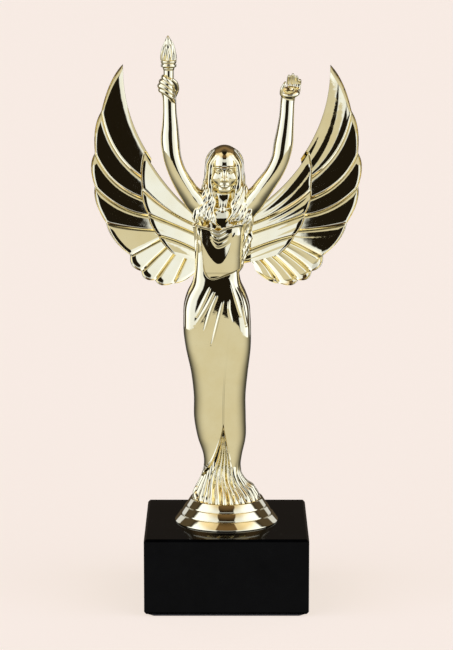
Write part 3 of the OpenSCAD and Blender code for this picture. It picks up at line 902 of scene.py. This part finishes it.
def model_nose(clay):
    bridge = [(HEAD_X, -7.9, 214.4, 0.75), (HEAD_X, -9, 211.6, 0.7), (HEAD_X, -10.1, 209.6, 0.85)]
    clay.limb(bridge, 1.1, samples=4)
    clay.ball((HEAD_X, -10.2, 209.2), (0.95, 0.85, 0.75), 0.5)
    for side in (-1, 1):
        clay.ball((HEAD_X + side * 1.1, -9.2, 208.9), (0.65, 0.85, 0.6), 0.5)
        clay.ball((HEAD_X + side * 0.6, -9.8, 208.3), (0.28, 0.42, 0.3), 0.25, cut=True)


def model_mouth(clay):
    def bow(rows, blend, cut=False):
        """A limb across the mouth, from rows that run from its middle to one corner."""
        left = [(HEAD_X - x, y, z, r) for x, y, z, r in rows[::-1]]
        right = [(HEAD_X + x, y, z, r) for x, y, z, r in rows[1:]]
        clay.limb(left + right, blend, cut, samples=4)

    bow([(0, -8.75, 206.95, 0.42), (0.7, -8.7, 207.1, 0.48), (2.2, -7.9, 206.45, 0.18)], 0.4)
    bow([(0, -8.75, 205.9, 0.6), (1, -8.5, 205.95, 0.5), (2, -7.9, 206.3, 0.18)], 0.4)
    bow([(0, -9.35, 206.45, 0.2), (1, -9.2, 206.5, 0.2), (2.5, -8.2, 206.4, 0.12)], 0.2, cut=True)
    clay.limb([(HEAD_X, -9.1, 208.2, 0.25), (HEAD_X, -9, 207.5, 0.25)], 0.4, cut=True)


# Locks of hair beside the face: their height, then the innermost lock's offset from the middle and depth, and
# the outermost lock's.
FALL = [
    (211.6, 6.9, -4.3, 8.5, -0.6), (208, 7, -4.7, 9, -0.8), (204.4, 6.4, -5, 10, -1.4),
    (200.4, 5.4, -5.4, 11.6, -2.6), (196.4, 5, -6.6, 12.8, -4.2), (192.6, 4.8, -8, 13.4, -5.8),
    (189.6, 3.8, -9.2, 13, -7), (187.9, 1.8, -10.2, 12, -7.8),
]


def on_scalp(side, down, round_head):
    """A place on the hair over the skull: angles in degrees down from the top, and round from the face."""
    down, round_head = math.radians(down), math.radians(round_head)
    return [
        HEAD_X + side * 8.3 * math.sin(down) * math.sin(round_head),
        1.5 - 8.6 * math.sin(down) * math.cos(round_head),
        215.6 + 8.7 * math.cos(down),
    ]


def lock_of_hair(clay, places, thick, wave, phase, start_wave):
    """A tapering lock through places, that waves from side to side more and more as it falls."""
    line = through(places, 5)
    t = np.linspace(0, 1, len(line))
    run = np.concatenate([[0], np.cumsum(np.linalg.norm(np.diff(line, axis=0), axis=1))])
    grow = smoothstep(start_wave, start_wave + 14, run)
    wave_length = 8
    turn = run * 2 * math.pi / wave_length + phase
    line[:, 0] += wave * grow * np.sin(turn)
    line[:, 1] += 0.5 * wave * grow * np.cos(turn)
    radius = thick * (0.55 + 0.45 * smoothstep(0, 0.3, t)) * (1 - 0.75 * smoothstep(0.78, 1, t))
    clay.limb(np.column_stack([line, radius]), 0.22)


def front_lock(clay, side, share, thick, wave, phase, lift=0.0):
    """share is 0 for the lock beside the face and 1 for the one over the shoulder."""
    start = 40 - 26 * share
    places = [
        on_scalp(side, start, 4 + 60 * share),
        on_scalp(side, start + 18 + 8 * share, 30 + 40 * share),
        on_scalp(side, 84, 51 + 30 * share),
    ]
    for z, x0, y0, x1, y1 in FALL:
        middle = -1 - 0.9 * smoothstep(205, 190, z)
        x = x0 + (x1 - x0) * share + 0.6 * lift
        y = y0 + (y1 - y0) * share - lift
        places.append([middle + side * x, y, z + 1.2 * math.sin(5 * share + side)])
    lock_of_hair(clay, places, thick, wave, phase, 14)


def back_lock(clay, side, share, thick, wave, phase, lift=0.0):
    """share is 0 just behind the shoulder and 1 at the middle of the back."""
    angle = 98 + 78 * share
    places = [on_scalp(side, d, angle) for d in (14 + 10 * share, 45, 72, 96)]
    sweep = math.radians(angle)
    for z, wide, deep in ((209, 8.8, 8.6), (204, 9.4, 8.2), (199, 10.4, 8), (194, 10.8, 8.6), (189.5, 10, 9)):
        x = -1.2 + side * (wide + lift) * math.sin(sweep)
        y = 0.8 - (deep + lift) * math.cos(sweep) + 0.6 * (1 - share)
        places.append([x, y, z + 1.6 * math.sin(7 * share + side)])
    lock_of_hair(clay, places, thick, wave, phase, 12)


def model_hair(clay):
    clay.ball((HEAD_X, 1.7, 215.4), (8.3, 8.6, 9.7), 0.6)
    clay.limb([(-1, 5, 212, 5), (-1.2, 4.6, 204, 4.6), (-1.6, 4.4, 196, 4.4), (-1.8, 4.6, 192, 3.6)], 1.5)
    for side in (-1, 1):
        clay.limb([(-1 + side * 4.5, 4, 210, 4.2), (-1.4 + side * 5.5, 4, 194, 4)], 1.5)
        clay.ball((-1.2 + side * 6, 0.4, 202), (3, 4.2, 8), 1.5)
        backing = [
            (-1 + side * 7, -1.4, 212, 1.4), (-1.2 + side * 8, -2.2, 204, 1.8),
            (-1.6 + side * 9, -4, 197, 2.4), (-1.9 + side * 8.6, -5.4, 191.5, 2),
        ]
        clay.limb(backing, 1.2, samples=4)
        for k in range(9):
            front_lock(clay, side, k / 8, 1.15, 0.5, 1.7 * k + side)
        for k in range(7):
            front_lock(clay, side, (k + 0.4) / 7, 0.72, 0.8, 2.3 * k - side, lift=0.55)
        for k in range(9):
            back_lock(clay, side, k / 8, 1.3, 0.5, 1.9 * k)
        for k in range(8):
            back_lock(clay, side, (k + 0.5) / 8, 0.75, 0.8, 2.6 * k + side, lift=0.7)
    model_long_locks(clay)


def model_long_locks(clay):
    """The locks that fall beside the open arm to the waist, over a fuller mass of hair."""
    mass = [(8.4, 0.4, 196, 2.6), (8.8, 0.8, 186, 2.6), (8.2, 0.8, 178, 2.3), (6.6, 0.6, 170, 2)]
    clay.limb([*mass, (5.6, 0.6, 164, 1)], 1)
    for k in range(4):
        x, y = 8.0 + 1.05 * k, -2.4 + 1.1 * k
        places = [
            (9 + 0.6 * k, y - 1.4, 198), (x + 1.2, y - 1.2, 191), (x + 0.6, y, 184), (x, y, 177),
            (7.4 + 0.5 * k, y, 171), (6.2 + 0.3 * k, y, 166), (5.6, y + 0.4, 162.2 - k % 2),
        ]
        lock_of_hair(clay, places, 1.05, 0.45, 2.1 * k, 4)


def build_shells():
    """The two moulded half shells: each has the gown, and the chest, head and hair above it."""
    clay = Clay((-19, -13.5, 158.5), (15.5, 13, 228), 0.22)
    model_body(clay)
    model_head(clay)
    model_hair(clay)
    upper, gown = clay.half_shells(), gown_halves()
    solid("front_half", [gown[FRONT], upper[FRONT]], GOLD, stands_for=["figure_front"])
    solid("back_half", [gown[BACK], upper[BACK]], GOLD, stands_for=["figure_back"])


# ---- Arms ----

# Rows of x, y, z, radius from the shoulder to the wrist.
TORCH_ARM = [
    (-11.8, -0.9, 193, 4.8), (-15, -1.6, 197.5, 4.9), (-20.4, -3.1, 206, 4.5), (-24, -4.1, 213, 4.1),
    (-26.2, -4.2, 220, 4.1), (-27, -3.7, 227, 4.2), (-27.1, -3.1, 234, 3.7), (-27.3, -2.7, 241, 3.1),
    (-27.4, -2.5, 246, 3), (-27.6, -2.3, 250, 3),
]
OPEN_ARM = [
    (9.6, -0.9, 193, 4.8), (13, -1.6, 197.5, 4.9), (18, -3.1, 205, 4.6), (22.8, -4.1, 212, 4.2),
    (26, -4.2, 219, 4.1), (27.3, -3.7, 226, 4.3), (28.3, -3.1, 233, 3.8), (29, -2.7, 240, 3.3),
    (29.3, -2.5, 245.5, 3.2), (29.7, -2.3, 249.4, 3.2),
]
# Shoulder, biceps, triceps, forearm and elbow: radii and blend, then each arm's places and turns.
MUSCLES = [
    ((4.8, 4.9, 6), 2.5), ((2.6, 2.6, 6.5), 2), ((2.4, 2.4, 6), 2), ((2.4, 3, 6.5), 2),
    ((1.6, 1.8, 2), 1.5),
]
TORCH_ARM_MUSCLES = [
    ((-14.6, 0, 198.4), -35), ((-20.6, -2.4, 205), -30), ((-22.4, 1.2, 208), -30),
    ((-28.6, -2.6, 228.5), 0), ((-24.6, -2, 221), 0),
]
OPEN_ARM_MUSCLES = [
    ((12.8, 0, 198.4), 35), ((18.8, -2.4, 204.4), 32), ((20.8, 1.2, 207.4), 32),
    ((29, -2.6, 227.5), 0), ((24.2, -2, 220), 0),
]


def model_arm(clay, rows, muscles):
    """An arm along its rows, a little wider than deep, as two bones side by side make it."""
    for shift in (-0.8, 0.8):
        clay.limb([(x + shift, y, z, r - 0.6) for x, y, z, r in rows], 2.2, samples=6)
    for (place, turn), (radii, blend) in zip(muscles, MUSCLES):
        clay.ball(place, radii, blend, turn=(0, turn, 0))


def build_torch_arm():
    clay = Clay((-36, -10, 185), (-5, 8, 262), 0.25)
    model_arm(clay, TORCH_ARM, TORCH_ARM_MUSCLES)
    model_fist(clay)
    solid("torch_arm_and_fist", [clay.shell()], GOLD, stands_for=["torch_arm"])


def model_fist(clay):
    x, y = TORCH_X, TORCH_Y
    clay.ball((x - 0.3, y + 1.6, 252.8), (3.8, 2.6, 4.8), 1.5)
    for k, reach in enumerate((2.2, 3.3, 4, 3.6)):
        z = 257.6 - 2.1 * k
        finger = [
            (x - reach, y + 0.8, z + 0.6, 1.1), (x - reach - 0.3, y - 1.6, z + 0.9, 1.2),
            (x - 0.5 * reach, y - 3.5, z, 1.2), (x + 0.9, y - 3.6, z - 2.2, 1.05),
            (x + 2.6, y - 1.6, z - 4.2, 0.85),
        ]
        clay.limb(finger, 0.25, samples=5)
    thumb = [
        (x + 2.4, y + 1.4, 249.5, 1.5), (x + 3.7, y - 0.4, 252.6, 1.35), (x + 3.4, y - 2.4, 255.6, 1.15),
        (x + 1.9, y - 3.7, 257.4, 0.9),
    ]
    clay.limb(thumb, 0.4, samples=5)


def build_open_arm():
    clay = Clay((5, -10, 185), (40, 8, 264), 0.25)
    model_arm(clay, OPEN_ARM, OPEN_ARM_MUSCLES)
    model_open_hand(clay)
    solid("open_arm_and_hand", [clay.shell()], GOLD, stands_for=["open_arm"])


def model_open_hand(clay):
    """The hand is bent back: the cupped palm faces up and forward, and the fingers stand up behind it."""
    clay.ball((30.6, -2.4, 251), (4.9, 4.4, 1.9), 1, turn=(25, 0, 0))
    clay.ball((29.7, -4, 252.3), (2.9, 2.8, 1.4), 0.5, turn=(25, 0, 0), cut=True)
    for x, height, thick in ((30.2, 259.5, 0.95), (32, 260.2, 1), (33.7, 259.1, 0.95), (35.1, 257.1, 0.8)):
        bow = 0.12 * (x - 32)
        finger = [
            (x - bow, -0.2, 251.4, thick + 0.15), (x, 0.9, 253.6, thick), (x + bow, 0.7, 256.2, thick),
            (x + 0.6 * bow, -0.4, height - thick, thick - 0.15),
        ]
        clay.limb(finger, 0.15, samples=5)
    thumb = [
        (26.9, -3.6, 250.6, 1.4), (26.8, -4.6, 252.6, 1.05), (27.6, -4.7, 254.4, 0.95),
        (28.3, -4.3, 255.8, 0.75),
    ]
    clay.limb(thumb, 0.4, samples=5)


# ---- Wings ----

# Each row is one edge between two feathers: the tip's distance from the middle plane and height above the
# hem, the root's, and how far the edge sags as a share of its length.
PRIMARIES = [
    (50.8, 211.8, 37, 166, 0.08), (61.4, 188.7, 38, 154, 0.12), (64.7, 168, 37, 145, 0.13),
    (64.8, 151.7, 35, 137.4, 0.11), (59.2, 133.5, 34, 130.6, 0.03), (47.5, 117.7, 31, 127, 0),
    (42, 110.2, 28, 124, 0), (35.2, 106, 24, 122, 0), (26, 104.8, 19, 120, 0), (14, 112, 14, 119, 0),
]
COVERTS = [
    (40.4, 169.4, 14.5, 139, 0.05), (41.4, 151, 13.5, 134, 0.06), (38.6, 138.7, 13, 129.5, 0),
    (33.8, 128.4, 12.5, 121, -0.04), (26, 119.4, 12, 115.6, 0),
]

# How each wing's layers differ. Every list runs down from the top edge or feather, and its last value
# serves the rest. lift is how far an edge stands forward at its root and at its tip, ripple is how deep the
# feathers' waves are, and ledge is how far a feather drops beside its upper rim.
RIGHT_PRIMARIES = {
    "lift": [(0, 0), (0, 0), (0, 0), (0, 0), (0, -0.1), (0, -1.5), (0, -0.4), (0, 0)],
    "ripple": [0.004],
    "ledge": [0],
}
RIGHT_COVERTS = {"lift": [(3.2, 1.7)], "ripple": [0.004], "ledge": [0]}
LEFT_PRIMARIES = {
    "lift": [(0, 3.4), (0, 0)],
    "ripple": [0.09, 0.006, 0.006, 0.006, 0.03, 0.006],
    "ledge": [0, 0, 0, 0, 0, 1],
}
LEFT_COVERTS = {
    "lift": [(0.4, 3.4), (0.8, 3.2), (1.8, 2.2), (2.4, 1.8)],
    "ripple": [0.07, 0.05, 0.03],
    "ledge": [0],
}
BACK_X = -1.8  # the middle of the back, where the wings meet
WING_FOOT = 118
# The wing's arm, behind the feathers: distance from the middle, height above the hem, radius.
WING_ARM = [
    (10, 124, 2.8), (20, 124, 2.5), (29, 128.5, 2.3), (34.5, 137, 2), (36.8, 149, 1.7), (37.2, 160, 1.1),
]


def wing_depth(u, height):
    """How far back the wing is, u from the middle: it sweeps back outwards, and leans back upwards."""
    root_depth, root_u, sweep, sweep_u, lean = 10.4, 12, 13, 30, 0.035
    swept = sweep * (1 - np.exp(-np.maximum(0, u - root_u) / sweep_u))
    return root_depth + swept + lean * (height - WING_FOOT)


def per_edge(values, count):
    """count values, one for each edge or feather: the last one given is used for the rest."""
    return np.array([values[min(k, len(values) - 1)] for k in range(count)], float)


def edge_line(row, t):
    """Points along edges between feathers, from t = 0 at the root to 1 at the tip."""
    tip, root = row[:, None, 0:2], row[:, None, 2:4]
    chord = tip - root
    sag = 4 * t * (1 - t) * row[:, None, 4]
    return root + chord * t[..., None] + sag[..., None] * np.stack([chord[..., 1], -chord[..., 0]], -1)


def closed_sheet(front, tip, back, flip):
    """A shell whose rings run out over its front, round its tip, and back in behind."""
    rings = np.concatenate([front, tip, back[:, ::-1]], axis=1)
    count, cols = rings.shape[:2]
    half = cols // 2
    near = np.arange(cols)
    far = near[::-1]
    strip = np.stack([near[: half - 1], near[1:half], far[1:half], far[: half - 1]], 1)
    faces = [grid_faces(count, cols, closed=True), strip[:, ::-1], strip + (count - 1) * cols]
    if flip:
        faces = [f[:, ::-1] for f in faces]
    return Shell(rings.reshape(-1, 3), faces)


def feather_layer(rows, side, inner, bulge, scoop, rim, lift, ripple, ledge):
    """One layer of feathers, each a shallow dish, scoop deep between raised rims, that rounds out by bulge at
    its end. inner is how much nearer to the body the lower feathers have their roots."""
    thick, rim_w, edge_r, tip_out = 1.8, 0.5, 1.2, 0.3
    per_feather, along_feather = 26, 110
    shifted_u, shift_fade = 38, 12
    rows = np.array(rows, float)
    count = len(rows)
    lift, ripple, ledge = [per_edge(values, count) for values in (lift, ripple, ledge)]
    # s counts feathers across the layer, i is the feather and v the place in it, and t runs along it.
    s = np.linspace(0, count - 1, (count - 1) * per_feather + 1)
    i = np.minimum(s.astype(int), count - 2)
    v = (s - i)[:, None]
    t = np.linspace(0, 1, along_feather)[None, :]
    upper, lower = edge_line(rows[i], t), edge_line(rows[i + 1], t)
    width = np.linalg.norm(upper - lower, axis=-1)
    out = (rows[i] + rows[i + 1])[:, 0:2] - (rows[i] + rows[i + 1])[:, 2:4]
    out /= np.linalg.norm(out, axis=1)[:, None]
    flat = upper * (1 - v[..., None]) + lower * v[..., None]
    flat += out[:, None, :] * (bulge * 4 * v * (1 - v) * t * t)[..., None]
    root_u = rows[i, 2:3] * (1 - v) + rows[i + 1, 2:3] * v
    u = flat[..., 0] - inner * (1 - t) ** 2 * np.clip((shifted_u - root_u) / shift_fade, 0, 1)

    from_tip = (1 - t) * np.linalg.norm(rows[i, 0:2] - rows[i, 2:4], axis=1)[:, None]
    from_edge = np.minimum(np.minimum(v, 1 - v) * width, from_tip)
    bead = rim * np.exp(-((from_edge / rim_w) ** 2))
    inside = (1 - np.abs(2 * v - 1) ** 7) * smoothstep(0, 3, from_tip)
    waves = ripple[i][:, None] * np.sin(2 * math.pi * (2.3 * v + 0.8 * t + 0.37 * i[:, None]))
    drop = ledge[i][:, None] * (smoothstep(0.08, 0.26, v) - smoothstep(0.26, 1, v))
    # The layer thins towards its two outer edges, which are round.
    outer = np.where(s <= 1, s, np.where(s >= count - 2, count - 1 - s, 1))[:, None] * width
    thin = thick / 2 * (1 - np.sqrt(1 - (1 - np.clip(outer / edge_r, 0.05, 1)) ** 2))
    relief = inside * (scoop + waves + drop) - bead + thin

    root_lift, tip_lift = (lift[i] * (1 - v) + lift[i + 1] * v).T[..., None]
    depth = wing_depth(u, flat[..., 1]) - root_lift * (1 - t) - tip_lift * t
    front = np.stack([side * u, depth + relief, HEM + flat[..., 1]], -1)
    back = np.stack([side * u, depth + thick - relief, HEM + flat[..., 1]], -1)
    tip = (front[:, -1:] + back[:, -1:]) / 2
    tip += tip_out * np.stack([side * out[:, 0], 0 * s, out[:, 1]], -1)[:, None]
    return closed_sheet(front, tip, back, flip=side > 0)


def wing_root(side):
    """The pad behind the shoulder blade, and the wing's arm, which runs out from it."""
    near, far = sorted((BACK_X + side * 2, side * 43))
    clay = Clay((near, 5, 158), (far, 27, 222), 0.3)
    clay.ball((BACK_X + side * 8.4, 9.8, 178.5), (5.2, 3.7, 9.5), 1.5)
    arm = [(side * u, wing_depth(u, height) + 1.6, HEM + height, r) for u, height, r in WING_ARM]
    clay.limb(arm, 2.5, samples=6)
    return clay.shell()


def build_wing(name, side, inner, primaries, coverts):
    """A wing's two layers of feathers, and what holds them at the back."""
    layers = [
        feather_layer(PRIMARIES, side, inner, bulge=2.2, scoop=0.5, rim=0.55, **primaries),
        feather_layer(COVERTS, side, inner, bulge=1.4, scoop=0.4, rim=0.6, **coverts),
    ]
    solid(name + "_feathers", [*layers, wing_root(side)], GOLD, stands_for=[name], sharp=55)


# ---- Camera, light and floor ----


def build_camera():
    """A long lens straight in front of the trophy, looking down at it a little."""
    data = bpy.data.cameras.new("camera")
    data.sensor_width = 36
    data.lens = 151.75
    data.clip_start, data.clip_end = 0.05, 100
    camera = bpy.data.objects.new("camera", data)
    distance, height, look_down = 1.32, 0.384, 10.62
    camera.location = (0, -distance, height)
    camera.rotation_euler = (math.radians(90 - look_down), 0, 0)
    bpy.context.scene.collection.objects.link(camera)
    bpy.context.scene.camera = camera


def build_studio():
    """A studio seen only in reflections: two tall softboxes in front, to the sides, with a black gap between
    them for the camera and a bar over it, a warm ceiling, a strip on each side behind, and a pale table.
    Azimuth is in degrees from the front, alike to left and right. The camera sees a plain pale room."""
    world = bpy.data.worlds.new("studio")
    bpy.context.scene.world = world
    world.use_nodes = True
    tree = world.node_tree
    tree.nodes.clear()

    def node(kind, *inputs, **settings):
        return add_node(tree, kind, inputs, **settings)

    def maths(operation, *inputs):
        return node("ShaderNodeMath", *inputs, operation=operation)

    def times(first, *others):
        for other in others:
            first = maths("MULTIPLY", first, other)
        return first

    def plus(first, second):
        return maths("ADD", first, second)

    def one_less(value):
        return maths("SUBTRACT", 1, value)

    def step(value, low, high):
        """0 below low, 1 above high."""
        return node("ShaderNodeMapRange", value, low, high, 0, 1, interpolation_type="SMOOTHSTEP")

    def until(value, low, high):
        """1 below low, 0 above high."""
        return one_less(step(value, low, high))

    def between(value, a, b, c, d):
        """0 outside a and d, 1 between b and c."""
        return times(step(value, a, b), until(value, c, d))

    def glow(colour, strength):
        return node("ShaderNodeBackground", (*colour, 1), strength)

    xyz = tree.nodes.new("ShaderNodeSeparateXYZ")
    tree.links.new(tree.nodes.new("ShaderNodeTexCoord").outputs["Generated"], xyz.inputs[0])
    x, y, z = xyz.outputs
    azimuth = times(maths("ARCTAN2", maths("ABSOLUTE", x), times(y, -1)), 180 / math.pi)
    elevation = times(maths("ARCSINE", z), 180 / math.pi)

    # The boxes end at the table's far edge, and the gap between them is wider up high.
    above_table = step(plus(elevation, times(step(azimuth, 20, 60), 1.2)), -9.9, -8.9)
    high = step(elevation, 40, 56)
    from_gap = maths("SUBTRACT", azimuth, times(high, 12))
    box = times(step(from_gap, 20, 24), until(azimuth, 92, 100), until(elevation, 70, 76))
    over_camera = times(between(elevation, 22, 25, 38, 42), until(azimuth, 20, 24), 0.75)
    strength = plus(1, times(step(azimuth, 35, 75), 0.45))
    strip = times(between(azimuth, 130, 133, 148, 151), until(elevation, 32, 40), 0.7)
    boxes = times(above_table, plus(times(plus(box, over_camera), strength), strip))
    dim_room = times(above_table, plus(0.012, times(step(azimuth, 90, 110), 0.07)))
    warm_ceiling = times(between(elevation, 42, 58, 62, 76), 0.15)
    # The table darkens towards the back, and steeply below the trophy.
    round_fade = one_less(times(step(azimuth, 25, 145), 0.9))
    near_fade = one_less(times(step(elevation, -24, -58), 0.94))
    table = times(round_fade, near_fade, 0.68, one_less(above_table))

    studio = glow((1, 1, 1), table)
    lights = [
        ((0.88, 1, 1.45), times(boxes, one_less(high))),
        ((0.6, 0.56, 0.5), times(boxes, high)),
        ((1, 0.8, 0.62), dim_room),
        ((1, 0.64, 0.34), warm_ceiling),
    ]
    for colour, light in lights:
        studio = node("ShaderNodeAddShader", studio, glow(colour, light))
    plain = glow((0.947, 0.847, 0.822), 1)
    seen = tree.nodes.new("ShaderNodeLightPath").outputs["Is Camera Ray"]
    out = tree.nodes.new("ShaderNodeOutputWorld")
    tree.links.new(node("ShaderNodeMixShader", seen, studio, plain), out.inputs["Surface"])


def build_floor():
    half_size, just_below = 12, -0.0001
    mesh = bpy.data.meshes.new("floor")
    work = bmesh.new()
    bmesh.ops.create_grid(work, x_segments=24, y_segments=24, size=half_size)
    work.to_mesh(mesh)
    work.free()
    mesh.materials.append(new_material("floor", glowing_floor))
    floor = bpy.data.objects.new("floor", mesh)
    bpy.context.scene.collection.objects.link(floor)
    floor.visible_glossy = False
    floor.location.z = just_below


# ---- Assembly ----

bpy.context.scene.view_settings.view_transform = "Standard"
build_camera()
build_studio()
build_floor()
build_plinth()
build_fasteners()
build_pedestal()
build_torch()
build_flame()
build_shells()
build_torch_arm()
build_open_arm()
build_wing("right_wing", -1, 0, RIGHT_PRIMARIES, RIGHT_COVERTS)
build_wing("left_wing", 1, 5, LEFT_PRIMARIES, LEFT_COVERTS)
